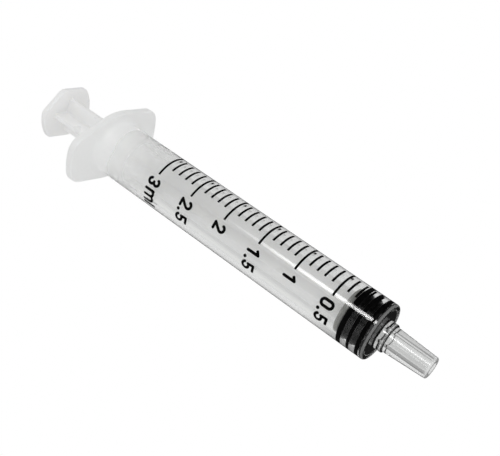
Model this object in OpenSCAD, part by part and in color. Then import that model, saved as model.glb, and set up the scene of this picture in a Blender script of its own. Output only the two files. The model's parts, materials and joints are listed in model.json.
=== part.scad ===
// Oral syringe, 3 ml, lying along X with its nozzle at +X.
// Millimetres. The origin is on the barrel's axis, in the plane of the finger flange's front face.
// Profiles of turned parts are drawn as [radius, distance along X] and swept about X by turned().

/* [Capacity] */
// Volume at the last line of the scale, in millilitres
capacity_ml = 3; // [1:1:3]
// Inside diameter of the barrel
bore_d = 9.0; // [8.6:0.1:9.2]

/* [Barrel] */
// Thickness of the barrel wall
wall = 0.85; // [0.7:0.05:0.9]
// Distance from the finger flange to the line of the full volume
first_line_x = 14.6; // [12:0.1:20]
// Radius of the fillet between the tube and the flange
flange_fillet_r = 1.2; // [0.6:0.1:1.2]
// Outside radius of the front shoulder
shoulder_r = 0.5; // [0.3:0.1:0.9]
// Thickness of the front wall, from the empty line to the front face
front_wall = 1.05; // [0.9:0.05:1.8]

/* [Finger flange] */
// Half of the flange's length, along Y
flange_half_length = 11.0; // [10:0.1:13]
// Half of the flange's width, along Z
flange_half_width = 6.85; // [6.7:0.05:7.4]
// Thickness of the flange
flange_t = 1.6; // [1.2:0.1:2.2]

/* [Nozzle] */
// Diameter of the short collar at the foot of the nozzle
collar_d = 5.36; // [5.2:0.02:5.8]
// Length of the collar
collar_l = 1.69; // [1:0.01:2]
// Diameter of the nozzle at its foot
nozzle_foot_d = 4.74; // [4.4:0.02:5.0]
// Diameter of the nozzle at its tip
nozzle_tip_d = 3.98; // [3.7:0.02:4.2]
// Length of the tapered nozzle, in front of the collar
nozzle_l = 8.1; // [7:0.1:12]
// Diameter of the hole through the nozzle
nozzle_bore_d = 2.1; // [1.6:0.1:2.4]

/* [Plunger] */
// Length of rod between the flange and the thumb rest with the plunger pushed right in
rod_out = 13.5; // [10:0.5:20]
// Radius of the crossed ribs
rib_r = 3.45; // [3:0.05:3.9]
// Thickness of a rib
rib_t = 1.0; // [0.8:0.1:1.4]
// Turn of the ribs about X, from the flange's long axis
rib_turn = -9.5; // [-45:0.5:45]
// Half of the thumb rest's longer width
thumb_half_length = 5.8; // [5.4:0.1:7]
// Half of the thumb rest's shorter width
thumb_half_width = 5.4; // [5.2:0.1:6]
// Thickness of the thumb rest
thumb_t = 1.2; // [1:0.1:1.8]
// Turn of the thumb rest about X, from the flange's long axis
thumb_turn = 11.7; // [-45:0.1:45]

/* [Piston] */
// Clearance between the piston's ribs and the bore, on the radius
piston_gap = 0.04; // [0.02:0.01:0.08]
// Clearance between the rod's head and its socket in the piston, on the radius
socket_gap = 0.05; // [0.03:0.01:0.09]

/* [Scale] */
// Width of a printed line
line_w = 0.42; // [0.25:0.01:0.5]
// Height of the numerals
numeral_h = 2.75; // [2.2:0.05:3.2]

/* [Hidden] */
$fn = 96;

// Barrel
bore_r = bore_d / 2;
tube_r = bore_r + wall;
mm_per_ml = 1000 / (PI * bore_r * bore_r);
zero_x = first_line_x + capacity_ml * mm_per_ml;
face_x = zero_x + front_wall;
cone_gap = 0.14;
cone_depth = 0.4;
cone_start_x = zero_x + cone_gap;
nozzle_bore_r = nozzle_bore_d / 2;
collar_end_x = face_x + collar_l;
tip_x = collar_end_x + nozzle_l;
tip_round = 0.3;
mouth_chamfer = 0.35;

// A low ring in the bore, inside the flange's fillet, stops the piston from being pulled out
ring_front_x = 1.6;
ring_h = 0.2;
ring_l = 1.0;
ring_ramp = 0.4;

// Piston, measured back from its front edge, which stands on the line of no volume when pushed in
piston_l = 4.66;
piston_rib_r = bore_r - piston_gap;
groove_depth = 0.25;
piston_groove_r = piston_rib_r - groove_depth;
piston_rib_l = [1.1, 0.8, 0.9];
piston_groove_l = 0.93;
piston_edge = 0.15;
nose_h = 0.3;
nose_inset = 0.31;
nose_edge_r = piston_rib_r - nose_inset;
nose_tip_r = 0.8;
piston_rear_x = zero_x - piston_l;

// Head of the plunger rod and its socket in the piston
neck_r = 2.2;
neck_l = 1.0;
head_r = 3.0;
head_l = 1.6;
head_nose_l = 0.7;
head_nose_r = 2.2;
end_gap = 0.1;

// Plunger rod
disc_gap = 0.35;
disc_r = bore_r - disc_gap;
disc_t = 1.0;
disc_x = piston_rear_x - disc_t - end_gap;
thumb_x = -rod_out;

// Outlines of the flange and the thumb rest: side arc, flat, corner arc and end arc on each quarter
flange_side_r = 11;
flange_side_turn = 15.6;
flange_corner_r = 3.0;
flange_end_r = 14;
thumb_side_r = 2.0;
thumb_side_turn = 26;
thumb_corner_r = 1.3;
thumb_end_r = 8.5;

// Printed scale
ink_t = 0.03;
line_step_ml = 0.1;
lines_per_major = 5;
line_count = floor(capacity_ml / line_step_ml + 0.5) + 1;
major_span = [58, 132];
minor_span = [68, 111];
stroke_w = 0.53;
digit_w = 1.7;
letter_m_w = 2.45;
letter_m_h = 1.85;
point_r = 0.6 * stroke_w;
glyph_gap = 0.27;
unit_gap = 0.6;
text_start = 140;
degree_l = PI * tube_r / 180;

// How far a cut runs past the face that it opens
past = 1;

// ---------- general shapes ----------

// Turns a [radius, x] outline about the X axis
module turned(points) {
    rotate([0, 90, 0]) rotate_extrude() polygon(points);
}

// Extrudes a [y, z] outline along X, from x = from to x = from + length
module along_x(from, length) {
    translate([from, 0, 0]) rotate([90, 0, 90]) linear_extrude(length) children();
}

// Centre of the corner arc that touches both the flat and the end arc
function corner_centre(half_l, half_w, side_r, turn, corner_r, end_r) =
    let (flat_d = side_r + (half_w - side_r) * cos(turn) - corner_r,
         slope = sin(turn) / cos(turn),
         y0 = flat_d / cos(turn),
         end_x = half_l - end_r,
         reach = end_r - corner_r,
         a = 1 + slope * slope,
         b = -2 * (end_x + slope * y0),
         c = end_x * end_x + y0 * y0 - reach * reach,
         x = (-b + sqrt(b * b - 4 * a * c)) / (2 * a))
    [x, y0 - slope * x];

// Outline with two long sides and two short ends, each quarter made of four tangent pieces
module winged_outline(half_l, half_w, side_r, turn, corner_r, end_r) {
    corner = corner_centre(half_l, half_w, side_r, turn, corner_r, end_r);
    side_y = half_w - side_r;
    end_x = half_l - end_r;
    end_turn = atan2(corner[1], corner[0] - end_x);
    side_point = [side_r * sin(turn), side_y + side_r * cos(turn)];
    flat_point = corner + corner_r * [sin(turn), cos(turn)];
    end_point = corner + corner_r * [cos(end_turn), sin(end_turn)];
    quarter = [side_point, flat_point, end_point];
    polygon([for (p = quarter) p,
             for (i = [2 : -1 : 0]) [quarter[i][0], -quarter[i][1]],
             for (p = quarter) [-p[0], -p[1]],
             for (i = [2 : -1 : 0]) [-quarter[i][0], quarter[i][1]]]);
    for (sx = [-1, 1], sy = [-1, 1])
        translate([sx * corner[0], sy * corner[1]]) circle(corner_r);
    for (s = [-1, 1]) {
        intersection() {
            translate([0, s * side_y]) circle(side_r);
            translate([-side_point[0], s > 0 ? 0 : -half_w]) square([2 * side_point[0], half_w]);
        }
        intersection() {
            translate([s * end_x, 0]) circle(end_r);
            translate([s > 0 ? 0 : -half_l, -end_point[1]]) square([half_l, 2 * end_point[1]]);
        }
    }
}

// ---------- barrel ----------

// Outside of the tube, shoulder, collar and nozzle, front to back
module barrel_outside() {
    turned([[0, -flange_t], [tube_r, -flange_t], [tube_r, face_x - shoulder_r],
            [tube_r - shoulder_r, face_x - shoulder_r], [tube_r - shoulder_r, face_x],
            [collar_d / 2, face_x], [collar_d / 2, collar_end_x], [nozzle_foot_d / 2, collar_end_x],
            [nozzle_tip_d / 2, tip_x - tip_round], [nozzle_tip_d / 2 - tip_round, tip_x], [0, tip_x]]);
    translate([face_x - shoulder_r, 0, 0]) rotate([0, 90, 0])
        rotate_extrude() translate([tube_r - shoulder_r, 0]) intersection() {
            circle(shoulder_r);
            square(shoulder_r);
        }
}

// Concave fillet that blends the tube into the flange
module flange_fillet() {
    rotate([0, 90, 0]) rotate_extrude() difference() {
        translate([tube_r - wall / 2, 0]) square([flange_fillet_r + wall / 2, flange_fillet_r]);
        translate([tube_r + flange_fillet_r, flange_fillet_r]) circle(flange_fillet_r);
    }
}

// Space inside the barrel, with the retaining ring left standing near the flange
module barrel_inside() {
    ring_r = bore_r - ring_h;
    ring_rear_x = ring_front_x - ring_l;
    turned([[0, -flange_t - past], [bore_r + mouth_chamfer, -flange_t - past],
            [bore_r + mouth_chamfer, -flange_t], [bore_r, mouth_chamfer - flange_t],
            [bore_r, ring_rear_x - ring_ramp], [ring_r, ring_rear_x], [ring_r, ring_front_x],
            [bore_r, ring_front_x], [bore_r, cone_start_x],
            [nozzle_bore_r, cone_start_x + cone_depth], [nozzle_bore_r, tip_x + past],
            [0, tip_x + past]]);
}

module barrel() {
    color([0.90, 0.92, 0.93, 0.35]) difference() {
        union() {
            barrel_outside();
            flange_fillet();
            along_x(-flange_t, flange_t)
                winged_outline(flange_half_length, flange_half_width, flange_side_r, flange_side_turn,
                               flange_corner_r, flange_end_r);
        }
        barrel_inside();
    }
}

// ---------- plunger ----------

// Four ribs that cross on the axis
module crossed_ribs() {
    for (quarter = [0, 90])
        rotate([rib_turn + quarter, 0, 0])
            translate([thumb_x, -rib_r, -rib_t / 2]) cube([disc_x - thumb_x, 2 * rib_r, rib_t]);
}

// Neck and barbed head that snap into the piston
module rod_head() {
    neck_x = disc_x + disc_t;
    shank_x = neck_x + end_gap + neck_l + end_gap;
    turned([[0, neck_x - disc_t / 2], [neck_r, neck_x - disc_t / 2], [neck_r, shank_x], [head_r, shank_x],
            [head_r, shank_x + head_l], [head_nose_r, shank_x + head_l + head_nose_l],
            [0, shank_x + head_l + head_nose_l]]);
}

module plunger_rod() {
    color([0.89, 0.89, 0.87, 0.8]) {
        along_x(thumb_x - thumb_t, thumb_t) rotate(thumb_turn)
            winged_outline(thumb_half_length, thumb_half_width, thumb_side_r, thumb_side_turn,
                           thumb_corner_r, thumb_end_r);
        crossed_ribs();
        turned([[0, disc_x], [disc_r, disc_x], [disc_r, disc_x + disc_t], [0, disc_x + disc_t]]);
        rod_head();
    }
}

// Stepped socket in the back of the piston
module piston_socket() {
    floor_x = piston_rear_x + neck_l;
    room_l = head_l + 2 * end_gap;
    turned([[0, piston_rear_x - past], [neck_r + socket_gap, piston_rear_x - past],
            [neck_r + socket_gap, floor_x], [head_r + socket_gap, floor_x],
            [head_r + socket_gap, floor_x + room_l],
            [head_nose_r + socket_gap, floor_x + room_l + head_nose_l], [0, floor_x + room_l + head_nose_l]]);
}

// Ribs and grooves of the piston as one outline, from the rear edge to the nose
module piston() {
    r1 = piston_rear_x;
    g1 = r1 + piston_rib_l[0];
    r2 = g1 + piston_groove_l;
    g2 = r2 + piston_rib_l[1];
    r3 = g2 + piston_groove_l;
    color([0.05, 0.05, 0.06]) difference() {
        turned([[0, r1], [piston_rib_r - piston_edge, r1], [piston_rib_r, r1 + piston_edge],
                [piston_rib_r, g1 - piston_edge], [piston_groove_r, g1], [piston_groove_r, r2],
                [piston_rib_r, r2 + piston_edge], [piston_rib_r, g2 - piston_edge],
                [piston_groove_r, g2], [piston_groove_r, r3], [piston_rib_r, r3 + piston_edge],
                [piston_rib_r, zero_x - piston_edge], [nose_edge_r, zero_x],
                [nose_tip_r, zero_x + nose_h], [0, zero_x + nose_h]]);
        piston_socket();
    }
}

// ---------- printed scale ----------

// One band of ink round part of the barrel, centred on x, between two angles from +Y towards +Z
module ink_arc(x, span) {
    translate([x - line_w / 2, 0, 0]) rotate([0, 90, 0]) rotate([0, 0, 90 + span[0]])
        rotate_extrude(angle = span[1] - span[0]) translate([tube_r, 0]) square([ink_t, line_w]);
}

module scale_major_lines() {
    color("black") for (i = [0 : line_count - 1])
        if (i % lines_per_major == 0)
            ink_arc(zero_x - i * line_step_ml * mm_per_ml, major_span);
}

module scale_minor_lines() {
    color("black") for (i = [0 : line_count - 1])
        if (i % lines_per_major != 0)
            ink_arc(zero_x - i * line_step_ml * mm_per_ml, minor_span);
}

// ---------- numerals, drawn flat as strokes with round ends ----------

half_w = (digit_w - stroke_w) / 2;
half_h = (numeral_h - stroke_w) / 2;

// Straight stroke between two points
module stroke(from, to) {
    step = to - from;
    translate(from) rotate(atan2(step[1], step[0])) {
        translate([0, -stroke_w / 2]) square([norm(step), stroke_w]);
        circle(stroke_w / 2);
        translate([norm(step), 0]) circle(stroke_w / 2);
    }
}

// Curved stroke of radius r about a centre, from one angle to another
module bow(centre, r, from, to) {
    fan_steps = 8;
    fan_r = 3 * r;
    translate(centre) {
        intersection() {
            difference() {
                circle(r + stroke_w / 2);
                circle(r - stroke_w / 2);
            }
            polygon([[0, 0], for (i = [0 : fan_steps])
                let (turn = from + (to - from) * i / fan_steps) fan_r * [cos(turn), sin(turn)]]);
        }
        for (turn = [from, to]) rotate(turn) translate([r, 0]) circle(stroke_w / 2);
    }
}

module digit_0() {
    straight = half_h - half_w;
    bow([0, straight], half_w, 0, 180);
    bow([0, -straight], half_w, 180, 360);
    for (s = [-1, 1]) stroke([s * half_w, -straight], [s * half_w, straight]);
}

module digit_1() {
    head = [0.28 * half_w, half_h];
    flag = [-0.7 * half_w, 0.6 * half_h];
    stroke([head[0], -half_h], head);
    stroke(head, flag);
}

module digit_2() {
    top = half_h - half_w;
    hook_end = 165;
    neck_turn = -30;
    neck = [half_w * cos(neck_turn), top + half_w * sin(neck_turn)];
    bow([0, top], half_w, neck_turn, hook_end);
    stroke(neck, [-half_w, -half_h]);
    stroke([-half_w, -half_h], [half_w, -half_h]);
}

module digit_3() {
    r = half_h / 2;
    hook_end = 160;
    bow([0, r], r, -90, hook_end);
    bow([0, -r], r, -hook_end, 90);
}

module digit_5() {
    r = 0.56 * half_h;
    hook_end = -155;
    neck_turn = 135;
    neck = [r * cos(neck_turn), r - half_h + r * sin(neck_turn)];
    shoulder = [-0.86 * half_w, half_h];
    bow([0, r - half_h], r, hook_end, neck_turn);
    stroke(neck, shoulder);
    stroke(shoulder, [half_w, half_h]);
}

module point() {
    translate([0, -half_h]) circle(point_r);
}

module letter_m() {
    hump_r = letter_m_w / 4;
    top = letter_m_h - half_h - hump_r;
    for (s = [-1, 1]) bow([s * hump_r, top], hump_r, 0, 180);
    for (s = [-1 : 1]) stroke([2 * s * hump_r, -half_h], [2 * s * hump_r, top]);
    stroke([-2 * hump_r, top], [-2 * hump_r, top + hump_r]);
}

module letter_l() {
    stroke([0, -half_h], [0, half_h]);
}

module glyph(name) {
    if (name == "0") digit_0();
    if (name == "1") digit_1();
    if (name == "2") digit_2();
    if (name == "3") digit_3();
    if (name == "5") digit_5();
    if (name == ".") point();
    if (name == "m") letter_m();
    if (name == "l") letter_l();
}

function glyph_w(name) =
    name == "." ? 2 * point_r : name == "m" ? letter_m_w + stroke_w : name == "l" ? stroke_w : digit_w;

// Width of the first n glyphs of a label, with a gap after each
function run_w(label, n) = n == 0 ? 0 : run_w(label, n - 1) + glyph_w(label[n - 1]) + glyph_gap;

// Prints a label round the barrel at x, from the angle start on, with its top towards the nozzle
module printed(label, x, start) {
    intersection() {
        for (i = [0 : len(label) - 1]) {
            middle = start + (run_w(label, i) + glyph_w(label[i]) / 2) / degree_l;
            translate([x, 0, 0]) rotate([middle - 90, 0, 0]) rotate([0, 0, -90])
                translate([0, 0, tube_r - past]) linear_extrude(2 * past) glyph(label[i]);
        }
        rotate([0, 90, 0]) difference() {
            cylinder(h = tip_x, r = tube_r + ink_t);
            translate([0, 0, -past]) cylinder(h = tip_x + 2 * past, r = tube_r);
        }
    }
}

// Labels of the longer lines, from the first half millilitre up
labels = ["0.5", "1", "1.5", "2", "2.5", "3"];
label_step_ml = line_step_ml * lines_per_major;

module scale_numerals() {
    color("black") for (i = [0 : len(labels) - 1])
        if ((i + 1) * label_step_ml <= capacity_ml)
            printed(labels[i], zero_x - (i + 1) * label_step_ml * mm_per_ml, text_start);
}

module unit_mark() {
    unit_start = text_start + (digit_w + unit_gap) / degree_l;
    color("black") printed("ml", first_line_x, unit_start);
}

barrel();
plunger_rod();
piston();
scale_major_lines();
scale_minor_lines();
scale_numerals();
unit_mark();
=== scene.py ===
"""Looks of the oral syringe: clear barrel, milky plunger rod, black rubber piston and printed scale.

Lengths are in metres in the row frame: +X along the barrel to the nozzle, Y along the flange, Z up.
Turned pieces are drawn as [x, radius] outlines; angles round the barrel run from +Y towards +Z.
"""

import json
import math

import bmesh
import bpy
from mathutils import Matrix, Vector


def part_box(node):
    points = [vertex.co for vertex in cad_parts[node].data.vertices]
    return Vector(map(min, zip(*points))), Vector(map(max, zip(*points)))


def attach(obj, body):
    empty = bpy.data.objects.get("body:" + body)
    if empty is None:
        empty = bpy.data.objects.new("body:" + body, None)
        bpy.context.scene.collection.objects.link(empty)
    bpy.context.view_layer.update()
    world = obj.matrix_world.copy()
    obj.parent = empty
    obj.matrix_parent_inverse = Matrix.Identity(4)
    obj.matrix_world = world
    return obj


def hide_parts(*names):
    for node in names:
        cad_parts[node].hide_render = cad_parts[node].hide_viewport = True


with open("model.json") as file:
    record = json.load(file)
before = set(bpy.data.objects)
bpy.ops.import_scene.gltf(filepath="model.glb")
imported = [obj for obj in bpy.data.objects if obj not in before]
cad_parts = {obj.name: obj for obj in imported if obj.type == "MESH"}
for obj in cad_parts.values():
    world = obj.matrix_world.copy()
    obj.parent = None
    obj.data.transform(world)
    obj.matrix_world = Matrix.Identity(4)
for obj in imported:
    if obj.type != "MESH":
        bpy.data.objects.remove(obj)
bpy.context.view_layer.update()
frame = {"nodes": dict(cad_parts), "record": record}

MM = 0.001

# ---------- sizes from the frame ----------

MOUNTS = {m["name"]: m for m in frame["record"]["mounts"]}
BARREL_LO, BARREL_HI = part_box("barrel")
ROD_LO, ROD_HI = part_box("plunger_rod")
PISTON_LO, PISTON_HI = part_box("piston")
LINES_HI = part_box("scale_major_lines")[1]

TUBE_R = MOUNTS["barrel_outside"]["dims"]["r_mm"] * MM
NOZZLE_BORE_R = MOUNTS["nozzle_bore"]["dims"]["r_mm"] * MM
FLANGE_T = -BARREL_LO.x
FLANGE_HALF_LENGTH = BARREL_HI.y
FLANGE_HALF_WIDTH = BARREL_HI.z
TIP_X = BARREL_HI.x
PISTON_RIB_R = PISTON_HI.z

# ---------- sizes that repeat the CAD source ----------

LINE_W = 0.42 * MM
PISTON_GAP = 0.04 * MM
EMPTY_X = LINES_HI.x - LINE_W / 2
BORE_R = PISTON_RIB_R + PISTON_GAP

FLANGE_SIDE_R = 11 * MM
FLANGE_SIDE_TURN = math.radians(15.6)
FLANGE_CORNER_R = 3 * MM
FLANGE_END_R = 14 * MM
FILLET_R = 1.2 * MM
SHOULDER_R = 0.5 * MM
FACE_X = EMPTY_X + 1.05 * MM
SHOULDER_X = FACE_X - SHOULDER_R
COLLAR_R = 2.68 * MM
COLLAR_END_X = FACE_X + 1.69 * MM
NOZZLE_FOOT_R = 2.37 * MM
NOZZLE_TIP_R = 1.99 * MM
TIP_ROUND = 0.3 * MM
CONE_START_X = EMPTY_X + 0.14 * MM
CONE_END_X = CONE_START_X + 0.4 * MM
MOUTH_CHAMFER = 0.35 * MM
RING_FRONT_X = 1.6 * MM
RING_L = 1.0 * MM
RING_RAMP = 0.4 * MM
RING_H = 0.2 * MM

THUMB_SIDE_R = 2 * MM
THUMB_SIDE_TURN = math.radians(26)
THUMB_CORNER_R = 1.3 * MM
THUMB_END_R = 8.5 * MM
THUMB_HALF_LENGTH = 5.8 * MM
THUMB_HALF_WIDTH = 5.4 * MM
THUMB_FRONT_X = -13.5 * MM
THUMB_TURN = math.radians(11.7)
RIB_TURN = math.radians(-9.5)
RIB_R = 3.45 * MM
RIB_T = 1.0 * MM
END_GAP = 0.1 * MM
DISC_R = BORE_R - 0.35 * MM
DISC_T = 1.0 * MM
DISC_FRONT_X = PISTON_LO.x - END_GAP
DISC_REAR_X = DISC_FRONT_X - DISC_T
NECK_R = 2.2 * MM
NECK_L = 1.0 * MM
HEAD_R = 3.0 * MM
HEAD_L = 1.6 * MM
HEAD_NOSE_L = 0.7 * MM

SOCKET_GAP = 0.05 * MM
PISTON_RIBS_L = (1.1 * MM, 0.8 * MM, 0.9 * MM)
GROOVE_L = 0.93 * MM
GROOVE_DEPTH = 0.25 * MM
RUBBER_EDGE = 0.15 * MM

# ---------- sizes of the looks alone ----------

ROUND_STEPS = 320
PLATE_EDGE = 0.3 * MM
DISC_EDGE = 0.15 * MM

# The rubber presses into the bore and the front wall by this much, so no air shows between them.
CONTACT = 0.01 * MM

# ---------- looks of the plastic ----------

# The refractive index of both plastics and of the oil on the rubber.
PLASTIC_IOR = 1.49

# Share of the light that one surface of the clear plastic lets through to the pieces inside.
PLASTIC_DIMS = 0.935

# The clear plastic goes from polished, 0, to as matt as its flange, 1.
MATT_TRANSMISSION = 0.35
MATT_ROUGHNESS = 0.42
ROOT_MATT = 0.65
TIP_MATT = 0.6

# The rim of the front is a little matt from outside and fully matt for light inside the plastic.
RIM_MATT = 0.3
RIM_MATT_INSIDE = 1.0

# The bore behind the piston and the nozzle are less polished than the outside of the tube.
BORE_ROUGHNESS = 0.11

# A fade is a pair: where a look begins to set in, and where it is full. These are places along X.
FLANGE_FADE = (6.0 * MM, 1.5 * MM)
ROOT_FADE = (14.0 * MM, 2.0 * MM)
SHOULDER_FADE = (SHOULDER_X - 0.15 * MM, SHOULDER_X + 0.1 * MM)
FRONT_WALL_FADE = (EMPTY_X - 1.2 * MM, EMPTY_X - 0.8 * MM)
TIP_FADE = (TIP_X - 0.7 * MM, TIP_X - 0.2 * MM)
BEHIND_PISTON_FADE = (PISTON_LO.x + 1.0 * MM, PISTON_LO.x)
NOZZLE_FADE = (FACE_X + 0.2 * MM, COLLAR_END_X)
# Where the painted shade on the disc behind the rubber sets in; it stands for light lost into the black
# rubber.
DISC_SHADE_FADE = (DISC_REAR_X - 0.15 * MM, DISC_REAR_X + 0.1 * MM)

# These are distances from the barrel's axis.
RIM_FADE = (TUBE_R - 0.3 * MM, TUBE_R - 0.1 * MM)
BORE_FADE = (BORE_R + 0.3 * MM, BORE_R + 0.1 * MM)

# ---------- brightness of the studio ----------

# What the camera sees of floor and surroundings, and how brightly they light the object.
SEEN_WHITE = 1.0
SOFT_LIGHT = 0.76

# The floor as the object mirrors it.
FLOOR_MIRRORED = 0.03

# The floor as seen through the plastic: before the object, under it with painted shade, and behind it,
# with fades along Y.
FLOOR_NEAR = 0.84
FLOOR_SHADE_UNDER = 0.6
FLOOR_FAR = 0.75
SHADE_UNDER_FADE = (-2.0 * MM, 2.5 * MM)
FAR_FADE = (5.0 * MM, 12.0 * MM)

# Painted shade on the floor under the front end, for rays that are mirrored on their way through the
# plastic.
FLOOR_BOUNCED_SHADE = 0.45
FRONT_END_SHADE_FADE = (48.0 * MM, 60.0 * MM)

# The surroundings, mirrored, and through the plastic near the horizon and high up.
WORLD_MIRRORED = 0.02
WORLD_LOW = 0.7
WORLD_HIGH = 0.05
WORLD_FADE = (0.3, 0.6)

# The card above, mirrored and through the plastic.
CARD_GLOW = 21.0
CARD_THROUGH = 4.0


# ---------- outlines ----------

def winged_outline(half_l, half_w, side_r, side_turn, corner_r, end_r):
    """Radius of the two-winged outline as a function of the angle from its long axis.

    A quarter of the outline is an end arc, a corner arc, a flat turned by side_turn and a side arc.
    """
    flat_d = side_r + (half_w - side_r) * math.cos(side_turn) - corner_r
    slope = math.tan(side_turn)
    y0 = flat_d / math.cos(side_turn)
    end_x = half_l - end_r
    reach = end_r - corner_r
    a = 1 + slope ** 2
    b = -2 * (end_x + slope * y0)
    c = end_x ** 2 + y0 ** 2 - reach ** 2
    corner_x = (-b + math.sqrt(b * b - 4 * a * c)) / (2 * a)
    corner_y = y0 - slope * corner_x

    normal = Vector((math.sin(side_turn), math.cos(side_turn)))
    corner = Vector((corner_x, corner_y))
    flat_point = corner + corner_r * normal
    side_point = Vector((side_r * math.sin(side_turn), half_w - side_r + side_r * math.cos(side_turn)))
    end_turn = math.atan2(corner_y, corner_x - end_x)
    end_point = corner + corner_r * Vector((math.cos(end_turn), math.sin(end_turn)))

    def on_circle(centre, r, ray):
        along = centre.dot(ray)
        return along + math.sqrt(max(0.0, r * r - centre.length_squared + along * along))

    def radius(angle):
        ray = Vector((abs(math.cos(angle)), abs(math.sin(angle))))
        turn = math.atan2(ray.y, ray.x)
        if turn < math.atan2(end_point.y, end_point.x):
            return on_circle(Vector((end_x, 0)), end_r, ray)
        if turn < math.atan2(flat_point.y, flat_point.x):
            return on_circle(corner, corner_r, ray)
        if turn < math.atan2(side_point.y, side_point.x):
            return flat_point.dot(normal) / ray.dot(normal)
        return on_circle(Vector((0, half_w - side_r)), side_r, ray)

    return radius


def arc(centre, r, start, end, steps):
    """Points of an arc in a flat outline, angles in degrees from its first axis towards its second."""
    turns = [math.radians(start + (end - start) * i / steps) for i in range(steps + 1)]
    return [(centre[0] + r * math.cos(t), centre[1] + r * math.sin(t)) for t in turns]


def held(points, margin=0.06 * MM):
    """Adds a point close to both ends of each long straight run, so that rounded edges shade cleanly."""
    out = []
    for p, q in zip(points, points[1:]):
        out.append(p)
        gap = math.dist(p, q)
        if gap > 5 * margin:
            for share in (margin / gap, 1 - margin / gap):
                out.append((p[0] + (q[0] - p[0]) * share, p[1] + (q[1] - p[1]) * share))
    return out + [points[-1]]


def plate_rings(outline, rear_x, front_x):
    """Rings of a plate's rim with rounded edges, from its rear face to its front face."""
    rings = []
    for centre_x, start, end in ((rear_x + PLATE_EDGE, 180, 90), (front_x - PLATE_EDGE, 90, 0)):
        for x, rise in arc((centre_x, 0), PLATE_EDGE, start, end, 5):
            inset = PLATE_EDGE - rise
            rings.append((x, lambda angle, inset=inset: outline(angle) - inset))
    return rings


# ---------- meshes ----------

def turned(rings, closed=False):
    """Sweeps rings round X. A ring is (x, radius), and radius may be a function of the angle."""
    bm = bmesh.new()
    rows = []
    for x, r in rings:
        if r == 0:
            rows.append([bm.verts.new((x, 0, 0))])
            continue
        row = []
        for i in range(ROUND_STEPS):
            turn = 2 * math.pi * i / ROUND_STEPS
            here = r(turn) if callable(r) else r
            row.append(bm.verts.new((x, here * math.cos(turn), here * math.sin(turn))))
        rows.append(row)
    pairs = list(zip(rows, rows[1:])) + ([(rows[-1], rows[0])] if closed else [])
    for a, b in pairs:
        for i in range(ROUND_STEPS):
            j = (i + 1) % ROUND_STEPS
            if len(a) == 1:
                bm.faces.new((a[0], b[i], b[j]))
            elif len(b) == 1:
                bm.faces.new((a[i], b[0], a[j]))
            else:
                bm.faces.new((a[i], b[i], b[j], a[j]))
    return bm


def extruded(points, from_x, to_x, turn):
    """Prism of a [y, z] outline along X, turned about X."""
    bm = bmesh.new()
    spin = Matrix.Rotation(turn, 2)
    flat = [spin @ Vector(p) for p in points]
    rows = [[bm.verts.new((x, p.x, p.y)) for p in flat] for x in (from_x, to_x)]
    bm.faces.new(rows[0])
    bm.faces.new(rows[1])
    for i in range(len(flat)):
        j = (i + 1) % len(flat)
        bm.faces.new((rows[0][i], rows[0][j], rows[1][j], rows[1][i]))
    return bm


def new_object(name, mesh):
    """An object of the mesh, in the scene."""
    obj = bpy.data.objects.new(name, mesh)
    bpy.context.scene.collection.objects.link(obj)
    return obj


def joined(name, parts):
    """Exact union of closed meshes, as one new bmesh."""
    objects = []
    for i, bm in enumerate(parts):
        bmesh.ops.recalc_face_normals(bm, faces=bm.faces)
        mesh = bpy.data.meshes.new(f"{name}_{i}")
        bm.to_mesh(mesh)
        bm.free()
        objects.append(new_object(f"{name}_{i}", mesh))
    base = objects[0]
    for other in objects[1:]:
        union = base.modifiers.new("union", "BOOLEAN")
        union.operation = "UNION"
        union.solver = "EXACT"
        union.object = other
    bpy.context.view_layer.update()
    evaluated = base.evaluated_get(bpy.context.evaluated_depsgraph_get())
    bm = bmesh.new()
    bm.from_mesh(evaluated.to_mesh())
    evaluated.to_mesh_clear()
    for obj in objects:
        bpy.data.objects.remove(obj)
    return bm


def finish_mesh(name, bm, body, material, node, sharp=50):
    """Makes an object of bm, with smooth faces and sharp corners, and hangs it on its body."""
    bmesh.ops.recalc_face_normals(bm, faces=bm.faces)
    for face in bm.faces:
        face.smooth = True
    mesh = bpy.data.meshes.new(name)
    bm.to_mesh(mesh)
    bm.free()
    mesh.set_sharp_from_angle(angle=math.radians(sharp))
    mesh.materials.append(material)
    piece = new_object(name, mesh)
    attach(piece, body)
    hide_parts(node)


# ---------- nodes of materials ----------

def new_material(name):
    """A new material, its node tree and its main shader."""
    material = bpy.data.materials.new(name)
    material.use_nodes = True
    tree = material.node_tree
    return material, tree, tree.nodes["Principled BSDF"]


def new_glow(name):
    """A new material that only glows, its node tree and its emission shader."""
    material = bpy.data.materials.new(name)
    material.use_nodes = True
    tree = material.node_tree
    tree.nodes.clear()
    glow = tree.nodes.new("ShaderNodeEmission")
    out = tree.nodes.new("ShaderNodeOutputMaterial")
    tree.links.new(glow.outputs["Emission"], out.inputs["Surface"])
    return material, tree, glow


def noise(tree, scale, detail=3.0, stretch=(1, 1, 1)):
    """Noise over the object's own coordinates, scale in features per metre, stretched along an axis."""
    coords = tree.nodes.new("ShaderNodeTexCoord")
    mapping = tree.nodes.new("ShaderNodeMapping")
    mapping.inputs["Scale"].default_value = stretch
    field = tree.nodes.new("ShaderNodeTexNoise")
    field.inputs["Scale"].default_value = scale
    field.inputs["Detail"].default_value = detail
    tree.links.new(coords.outputs["Object"], mapping.inputs["Vector"])
    tree.links.new(mapping.outputs["Vector"], field.inputs["Vector"])
    return field.outputs["Fac"]


def ranged(tree, value, low, high):
    """Maps the middle of a noise field to the range low to high."""
    node = tree.nodes.new("ShaderNodeMapRange")
    node.inputs["From Min"].default_value = 0.3
    node.inputs["From Max"].default_value = 0.7
    node.inputs["To Min"].default_value = low
    node.inputs["To Max"].default_value = high
    tree.links.new(value, node.inputs["Value"])
    return node.outputs["Result"]


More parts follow.
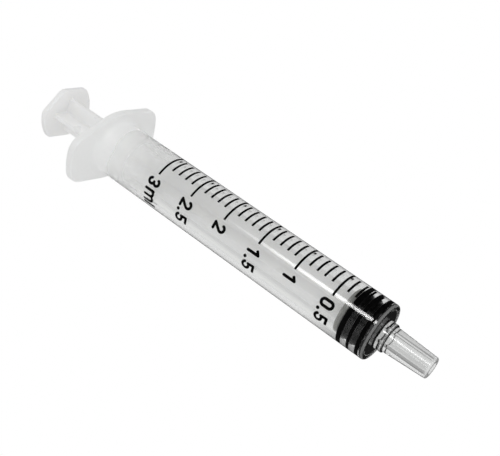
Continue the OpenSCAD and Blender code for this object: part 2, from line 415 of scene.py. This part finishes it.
def bumped(tree, shader, height, depth):
    """Puts a height field on the shader as a bump of the given depth."""
    node = tree.nodes.new("ShaderNodeBump")
    node.inputs["Strength"].default_value = 1.0
    node.inputs["Distance"].default_value = depth
    tree.links.new(height, node.inputs["Height"])
    tree.links.new(node.outputs["Normal"], shader.inputs["Normal"])


def place(tree, kind="Object"):
    """The X, Y and Z sockets of a shaded point, in the object's own coordinates or in another kind."""
    coords = tree.nodes.new("ShaderNodeTexCoord")
    split = tree.nodes.new("ShaderNodeSeparateXYZ")
    tree.links.new(coords.outputs[kind], split.inputs["Vector"])
    return split.outputs


def stepped(tree, value, fade):
    """Rises smoothly from 0 to 1 as value goes over a fade."""
    node = tree.nodes.new("ShaderNodeMapRange")
    node.interpolation_type = "SMOOTHSTEP"
    node.inputs["From Min"].default_value = fade[0]
    node.inputs["From Max"].default_value = fade[1]
    tree.links.new(value, node.inputs["Value"])
    return node.outputs["Result"]


def math_node(tree, operation, a, b=None):
    """A Math node; a and b are sockets or numbers."""
    node = tree.nodes.new("ShaderNodeMath")
    node.operation = operation
    for slot, value in zip(node.inputs, (a, b)):
        if isinstance(value, (int, float)):
            slot.default_value = value
        elif value is not None:
            tree.links.new(value, slot)
    return node.outputs["Value"]


def off_axis(tree, at):
    """Distance of a place from the barrel's axis."""
    squares = [math_node(tree, "POWER", at[side], 2.0) for side in ("Y", "Z")]
    return math_node(tree, "SQRT", math_node(tree, "ADD", *squares))


def mixed(tree, kind, share, low, high):
    """Goes from low, where share is 0, to high, where it is 1. Either may be a socket."""
    node = tree.nodes.new("ShaderNodeMix")
    node.data_type = kind
    tree.links.new(share, node.inputs["Factor"])
    for name, value in (("A", low), ("B", high)):
        if isinstance(value, (float, tuple)):
            node.inputs[name].default_value = value
        else:
            tree.links.new(value, node.inputs[name])
    return node.outputs["Result"]


def faded(tree, share, low, high):
    """Mixes two numbers."""
    return mixed(tree, "FLOAT", share, low, high)


def blended(tree, share, low, high):
    """Mixes two colours, given with their alpha."""
    return mixed(tree, "RGBA", share, low, high)


# ---------- materials of the pieces ----------

def frosting(tree):
    """How matt the barrel is: 1 on the flange, less on root, rim and tip, 0 on the polished rest."""
    at = place(tree)
    flange = stepped(tree, at["X"], FLANGE_FADE)
    root = math_node(tree, "MULTIPLY", stepped(tree, at["X"], ROOT_FADE), ROOT_MATT)
    rear = math_node(tree, "MAXIMUM", flange, root)
    shoulder = math_node(tree, "MULTIPLY", stepped(tree, at["X"], SHOULDER_FADE), RIM_MATT)
    wall = math_node(tree, "MULTIPLY", stepped(tree, at["X"], FRONT_WALL_FADE), RIM_MATT_INSIDE)
    inside = tree.nodes.new("ShaderNodeNewGeometry").outputs["Backfacing"]
    rim = stepped(tree, off_axis(tree, at), RIM_FADE)
    rim = math_node(tree, "MULTIPLY", faded(tree, inside, shoulder, wall), rim)
    tip = math_node(tree, "MULTIPLY", stepped(tree, at["X"], TIP_FADE), TIP_MATT)
    return math_node(tree, "MAXIMUM", math_node(tree, "MAXIMUM", rear, rim), tip)


def duller_polish(tree):
    """1 on the surface of the bore behind the piston and on the nozzle, 0 elsewhere."""
    at = place(tree)
    bore = stepped(tree, off_axis(tree, at), BORE_FADE)
    behind = stepped(tree, at["X"], BEHIND_PISTON_FADE)
    nozzle = stepped(tree, at["X"], NOZZLE_FADE)
    return math_node(tree, "MAXIMUM", math_node(tree, "MULTIPLY", bore, behind), nozzle)


def lets_light_through(tree, shader):
    """Light that falls on the pieces inside passes straight through the clear plastic."""
    ray = tree.nodes.new("ShaderNodeLightPath")
    clear = tree.nodes.new("ShaderNodeBsdfTransparent")
    clear.inputs["Color"].default_value = (PLASTIC_DIMS, PLASTIC_DIMS, PLASTIC_DIMS, 1)
    mix = tree.nodes.new("ShaderNodeMixShader")
    lit = math_node(tree, "MAXIMUM", ray.outputs["Is Shadow Ray"], ray.outputs["Is Diffuse Ray"])
    tree.links.new(lit, mix.inputs["Fac"])
    tree.links.new(shader.outputs["BSDF"], mix.inputs[1])
    tree.links.new(clear.outputs["BSDF"], mix.inputs[2])
    tree.links.new(mix.outputs["Shader"], tree.nodes["Material Output"].inputs["Surface"])


def clear_plastic():
    """Clear polypropylene: a polished tube with faint flow lines along it, and a matt flange."""
    material, tree, shader = new_material("clear_plastic")
    shader.inputs["IOR"].default_value = PLASTIC_IOR
    flow = noise(tree, scale=260, stretch=(0.12, 1, 1))
    colour = blended(tree, flow, low=(0.975, 0.98, 0.975, 1), high=(0.995, 1.0, 0.995, 1))
    matt = frosting(tree)
    polish = faded(tree, duller_polish(tree), ranged(tree, flow, low=0.015, high=0.05), BORE_ROUGHNESS)
    roughness = faded(tree, matt, polish, MATT_ROUGHNESS)
    tree.links.new(colour, shader.inputs["Base Color"])
    tree.links.new(faded(tree, matt, 1.0, MATT_TRANSMISSION), shader.inputs["Transmission Weight"])
    tree.links.new(roughness, shader.inputs["Roughness"])
    bumped(tree, shader, flow, depth=0.002 * MM)
    lets_light_through(tree, shader)
    return material


def milky_plastic():
    """Satin polypropylene that lets light through but no image, with painted shade on the disc behind the
    rubber.
    """
    material, tree, shader = new_material("milky_plastic")
    shader.inputs["IOR"].default_value = PLASTIC_IOR
    shader.inputs["Subsurface Weight"].default_value = 0.85
    shader.inputs["Subsurface Radius"].default_value = (1, 0.98, 0.92)
    shader.inputs["Subsurface Scale"].default_value = 3.0 * MM
    cloud = noise(tree, scale=180)
    milk = blended(tree, cloud, low=(0.90, 0.90, 0.885, 1), high=(0.95, 0.95, 0.94, 1))
    # Painted shade: the disc behind the rubber is coloured dark grey for the light that the black rubber
    # takes.
    colour = blended(tree, stepped(tree, place(tree)["X"], DISC_SHADE_FADE), milk, (0.25, 0.25, 0.24, 1))
    tree.links.new(colour, shader.inputs["Base Color"])
    tree.links.new(ranged(tree, cloud, low=0.26, high=0.36), shader.inputs["Roughness"])
    bumped(tree, shader, noise(tree, scale=2600, detail=2), depth=0.003 * MM)
    return material


def near_black(name, specular, grain_scale, smooth, rough, depth):
    """A nearly black material with fine grain, its roughness from smooth to rough."""
    material, tree, shader = new_material(name)
    shader.inputs["Specular IOR Level"].default_value = specular
    grain = noise(tree, scale=grain_scale)
    colour = blended(tree, grain, low=(0.0005, 0.0005, 0.0005, 1), high=(0.002, 0.002, 0.002, 1))
    tree.links.new(colour, shader.inputs["Base Color"])
    tree.links.new(ranged(tree, grain, low=smooth, high=rough), shader.inputs["Roughness"])
    bumped(tree, shader, grain, depth=depth)
    return material, shader


def black_rubber():
    """Moulded black rubber with a thin film of oil."""
    material, shader = near_black("black_rubber", specular=0.02, grain_scale=1500,
                                  smooth=0.3, rough=0.45, depth=0.001 * MM)
    shader.inputs["IOR"].default_value = PLASTIC_IOR
    return material


def black_ink():
    """Printed ink, matt, with slightly uneven cover."""
    material, _ = near_black("black_ink", specular=0.1, grain_scale=5200,
                             smooth=0.45, rough=0.7, depth=0.003 * MM)
    return material


# ---------- barrel ----------

def barrel_outside():
    """Outline of the barrel's outside, from the flange's front face to the tip of the nozzle."""
    foot_round = 0.25 * MM
    foot_edge = 0.04 * MM
    # The fillet starts just off the flange's face, and the tip's round where the taper meets it.
    return [
        *arc((FILLET_R, TUBE_R + FILLET_R), FILLET_R, 183, 270, 24),
        *arc((SHOULDER_X, TUBE_R - SHOULDER_R), SHOULDER_R, 90, 0, 14),
        (FACE_X, COLLAR_R + foot_round),
        *arc((FACE_X + foot_round, COLLAR_R + foot_round), foot_round, 180, 270, 4),
        *arc((COLLAR_END_X - foot_round, COLLAR_R - foot_round), foot_round, 90, 0, 4),
        (COLLAR_END_X, NOZZLE_FOOT_R + foot_edge),
        (COLLAR_END_X + foot_edge, NOZZLE_FOOT_R),
        *arc((TIP_X - TIP_ROUND, NOZZLE_TIP_R - TIP_ROUND), TIP_ROUND, 88, 0, 6),
    ]


def barrel_inside():
    """Outline of the bores, from the nozzle's opening over the retaining ring to the flange's rear."""
    bore_round = 0.12 * MM
    ring_l = RING_L + RING_RAMP
    steps = 12
    ring = [(RING_FRONT_X - ring_l * i / steps, BORE_R - RING_H * math.sin(math.pi * i / steps) ** 2)
            for i in range(steps + 1)]
    return [
        *arc((TIP_X - bore_round, NOZZLE_BORE_R + bore_round), bore_round, 0, -90, 4),
        (CONE_END_X, NOZZLE_BORE_R),
        (CONE_START_X, BORE_R),
        *ring,
        (MOUTH_CHAMFER - FLANGE_T, BORE_R),
        (-FLANGE_T, BORE_R + MOUTH_CHAMFER),
    ]


def make_barrel(material):
    flange = winged_outline(FLANGE_HALF_LENGTH, FLANGE_HALF_WIDTH, FLANGE_SIDE_R, FLANGE_SIDE_TURN,
                            FLANGE_CORNER_R, FLANGE_END_R)
    rings = plate_rings(flange, -FLANGE_T, 0.0) + held(barrel_outside() + barrel_inside())
    finish_mesh("clear_barrel", turned(rings, closed=True), "barrel", material, "barrel")


# ---------- plunger rod ----------

def rib_section():
    """Outline of the crossed ribs in [y, z], with rounded tips and filleted roots."""
    tip_round = 0.25 * MM
    root_round = 0.35 * MM
    steps = 5
    side = RIB_R - tip_round
    flank = RIB_T / 2 - tip_round
    root = RIB_T / 2 + root_round
    points = []
    for quarter in range(4):
        turn = Matrix.Rotation(math.radians(90 * quarter), 2)
        corner = [*arc((side, flank), tip_round, 0, 90, steps),
                  *arc((root, root), root_round, 270, 180, steps),
                  *arc((flank, side), tip_round, 0, 90, steps)]
        points += [turn @ Vector(p) for p in corner]
    return points


def thumb_rest():
    """The plate at the rear, with its winged outline turned against the flange's."""
    outline = winged_outline(THUMB_HALF_LENGTH, THUMB_HALF_WIDTH, THUMB_SIDE_R, THUMB_SIDE_TURN,
                             THUMB_CORNER_R, THUMB_END_R)
    rim = plate_rings(lambda angle: outline(angle - THUMB_TURN), ROD_LO.x, THUMB_FRONT_X)
    return turned([(ROD_LO.x, 0), *rim, (THUMB_FRONT_X, 0)])


def disc_and_head():
    """The disc at the front, the neck and the barbed head that snaps into the piston."""
    head_x = DISC_FRONT_X + NECK_L + 2 * END_GAP
    return turned([
        (DISC_REAR_X, 0),
        (DISC_REAR_X, DISC_R - DISC_EDGE),
        (DISC_REAR_X + DISC_EDGE, DISC_R),
        (DISC_FRONT_X - DISC_EDGE, DISC_R),
        (DISC_FRONT_X, DISC_R - DISC_EDGE),
        (DISC_FRONT_X, NECK_R),
        (head_x, NECK_R),
        (head_x, HEAD_R - DISC_EDGE),
        (head_x + DISC_EDGE, HEAD_R),
        (ROD_HI.x - HEAD_NOSE_L, HEAD_R),
        (ROD_HI.x, NECK_R),
        (ROD_HI.x, 0),
    ])


def make_plunger_rod(material):
    into_thumb_rest = 0.4 * MM
    ribs = extruded(rib_section(), THUMB_FRONT_X - into_thumb_rest, DISC_FRONT_X - DISC_T / 2, RIB_TURN)
    bm = joined("rod", [thumb_rest(), ribs, disc_and_head()])
    finish_mesh("milky_plunger_rod", bm, "plunger", material, "plunger_rod", sharp=40)


# ---------- piston ----------

def socket_outline():
    """Outline of the socket for the rod's head, from its end to the piston's rear face."""
    rear_x = PISTON_LO.x + NECK_L
    barb_x = rear_x + HEAD_L + 2 * END_GAP
    end_x = barb_x + HEAD_NOSE_L
    neck_r = NECK_R + SOCKET_GAP
    head_r = HEAD_R + SOCKET_GAP
    return [(end_x, 0), (end_x, neck_r), (barb_x, head_r), (rear_x, head_r), (rear_x, neck_r),
            (PISTON_LO.x, neck_r)]


def ribs_outline():
    """Outline of the three sealing ribs and the two grooves, from the rear to the front."""
    rib_r = BORE_R + CONTACT
    groove_r = PISTON_RIB_R - GROOVE_DEPTH
    groove_round = 0.2 * MM
    edge = RUBBER_EDGE
    points = []
    x = PISTON_LO.x
    for rib_l in PISTON_RIBS_L:
        if points:
            points += arc((x + groove_round, groove_r + groove_round), groove_round, 180, 270, 4)
            x += GROOVE_L
            points += arc((x - groove_round, groove_r + groove_round), groove_round, 270, 360, 4)
        points += arc((x + edge, rib_r - edge), edge, 180, 90, 4)
        x += rib_l
        points += arc((x - edge, rib_r - edge), edge, 90, 0, 4)
    return points


def nose_outline():
    """Outline of the nose, which fills the cone inside the front wall, out to its middle."""
    slope = (CONE_END_X - CONE_START_X) / (BORE_R - NOZZLE_BORE_R)
    cone = [(CONE_START_X + (BORE_R - r) * slope + CONTACT, r)
            for r in (BORE_R - RUBBER_EDGE, NOZZLE_BORE_R)]
    return [*cone, (CONE_END_X + CONTACT, 0)]


def make_piston(material):
    bm = turned(socket_outline() + ribs_outline() + nose_outline())
    finish_mesh("rubber_piston", bm, "piston", material, "piston")


# ---------- printed scale ----------

def print_scale(material):
    """The printed lines and numerals keep their CAD shape and get the ink."""
    for node in ("scale_major_lines", "scale_minor_lines", "scale_numerals", "unit_mark"):
        mesh = frame["nodes"][node].data
        mesh.materials.clear()
        mesh.materials.append(material)


# ---------- studio ----------

def by_ray(tree, mirrored, through, scattered):
    """White for the camera; a brightness for mirrored rays, for those through plastic and for light."""
    ray = tree.nodes.new("ShaderNodeLightPath")
    sharp = faded(tree, ray.outputs["Is Transmission Ray"], mirrored, through)
    value = faded(tree, ray.outputs["Is Glossy Ray"], scattered, sharp)
    return faded(tree, ray.outputs["Is Camera Ray"], value, SEEN_WHITE)


def studio_white():
    """Pale floor that glows, so that no shadow shows on it, dimmer in reflections and through plastic,
    with painted shade under the object and, for mirrored rays, under the front end.
    """
    material, tree, glow = new_glow("studio_white")
    at = place(tree)
    # Painted shade: seen through plastic, the floor glows dimmer under the object.
    through = faded(tree, stepped(tree, at["Y"], SHADE_UNDER_FADE), FLOOR_NEAR, FLOOR_SHADE_UNDER)
    through = faded(tree, stepped(tree, at["Y"], FAR_FADE), through, FLOOR_FAR)
    # Painted shade: rays mirrored on their way through the plastic see the floor under the front end
    # darker.
    depth = tree.nodes.new("ShaderNodeLightPath").outputs["Glossy Depth"]
    bounced_shade = math_node(tree, "MINIMUM", depth, 1.0)
    bounced_shade = math_node(tree, "MULTIPLY", bounced_shade, stepped(tree, at["X"], FRONT_END_SHADE_FADE))
    through = math_node(tree, "MULTIPLY", through, faded(tree, bounced_shade, 1.0, FLOOR_BOUNCED_SHADE))
    tree.links.new(by_ray(tree, FLOOR_MIRRORED, through, SOFT_LIGHT), glow.inputs["Strength"])
    return material


def card_glow(name):
    """Glow that fades from the middle of a card to its edges."""
    material, tree, glow = new_glow(name)
    coords = tree.nodes.new("ShaderNodeTexCoord")
    ball = tree.nodes.new("ShaderNodeTexGradient")
    ball.gradient_type = "SPHERICAL"
    tree.links.new(coords.outputs["Object"], ball.inputs["Vector"])
    ray = tree.nodes.new("ShaderNodeLightPath")
    gain = faded(tree, ray.outputs["Is Transmission Ray"], CARD_GLOW, CARD_THROUGH)
    tree.links.new(math_node(tree, "MULTIPLY", ball.outputs["Fac"], gain), glow.inputs["Strength"])
    return material


def square(name, half, z, material):
    """A level square round the Z axis."""
    mesh = bpy.data.meshes.new(name)
    corners = [(-half, -half, z), (half, -half, z), (half, half, z), (-half, half, z)]
    mesh.from_pydata(corners, [], [(0, 1, 2, 3)])
    mesh.materials.append(material)
    return new_object(name, mesh)


def make_floor():
    floor = square("floor", half=3.0, z=BARREL_LO.z, material=studio_white())


def make_world():
    """Dim surroundings that the camera itself sees as white."""
    world = bpy.data.worlds.new("studio")
    world.use_nodes = True
    tree = world.node_tree
    background = tree.nodes["Background"]
    height = stepped(tree, place(tree, "Generated")["Z"], WORLD_FADE)
    through = faded(tree, height, WORLD_LOW, WORLD_HIGH)
    tree.links.new(by_ray(tree, WORLD_MIRRORED, through, SOFT_LIGHT), background.inputs["Strength"])
    background.inputs["Color"].default_value = (1, 1, 1, 1)
    bpy.context.scene.world = world


def facing(aim, direction, distance):
    """Place of a lamp that faces aim from a direction, with its own X as near the barrel's as can be."""
    back = Vector(direction).normalized()
    along = (Vector((1, 0, 0)) - back * back.x).normalized()
    turn = Matrix((along, back.cross(along), back)).transposed().to_4x4()
    return Matrix.Translation(Vector(aim) + back * distance) @ turn


def soft_box(name, aim, direction, distance, size, watts):
    """A rectangular lamp that lights the object and isn't mirrored in it."""
    lamp = bpy.data.lights.new(name, "AREA")
    lamp.shape = "RECTANGLE"
    lamp.size, lamp.size_y = size
    lamp.energy = watts
    box = new_object(name, lamp)
    box.matrix_world = facing(aim, direction, distance)
    box.visible_glossy = False
    box.visible_camera = False


def glow_card(name, aim, direction, distance, half_l, half_w):
    """A long card with a soft-edged glow, which the round surfaces mirror as a streak."""
    card = square(name, half=1, z=0, material=card_glow(name))
    card.matrix_world = facing(aim, direction, distance) @ Matrix.Diagonal((half_l, half_w, 1, 1))
    card.visible_camera = False
    card.visible_diffuse = False


def light_studio():
    glow_card("overhead_card", aim=(62 * MM, 0, 0), direction=(-0.227, -0.448, 0.864),
              distance=0.45, half_l=0.13, half_w=0.07)
    soft_box("fill_box", aim=((BARREL_LO.x + TIP_X) / 2, 0, 0), direction=(0.2, -0.5, 0.85),
             distance=0.5, size=(0.5, 0.5), watts=0.3)


def aim_camera(aim, azimuth, elevation, roll, distance, lens):
    """Camera that looks at aim; azimuth 0 looks along +Y, and the roll turns it about its own axis."""
    camera = new_object("camera", bpy.data.cameras.new("camera"))
    a, e = math.radians(azimuth), math.radians(elevation)
    back = Vector((math.sin(a) * math.cos(e), -math.cos(a) * math.cos(e), math.sin(e)))
    look = (-back).to_track_quat("-Z", "Y").to_matrix().to_4x4()
    tilt = Matrix.Rotation(math.radians(roll), 4, "Z")
    camera.matrix_world = Matrix.Translation(Vector(aim) + back * distance) @ look @ tilt
    camera.data.sensor_width = 36
    camera.data.lens = lens
    camera.data.clip_start = 0.005
    camera.data.clip_end = 20
    bpy.context.scene.camera = camera


# ---------- the scene ----------

aim_camera(aim=(31.96 * MM, 2.78 * MM, 0), azimuth=30.65, elevation=38.26, roll=14.58,
           distance=156.21 * MM, lens=62.81)
make_world()
make_floor()
light_studio()
bpy.context.scene.view_settings.view_transform = "Standard"

make_barrel(clear_plastic())
make_plunger_rod(milky_plastic())
make_piston(black_rubber())
print_scale(black_ink())
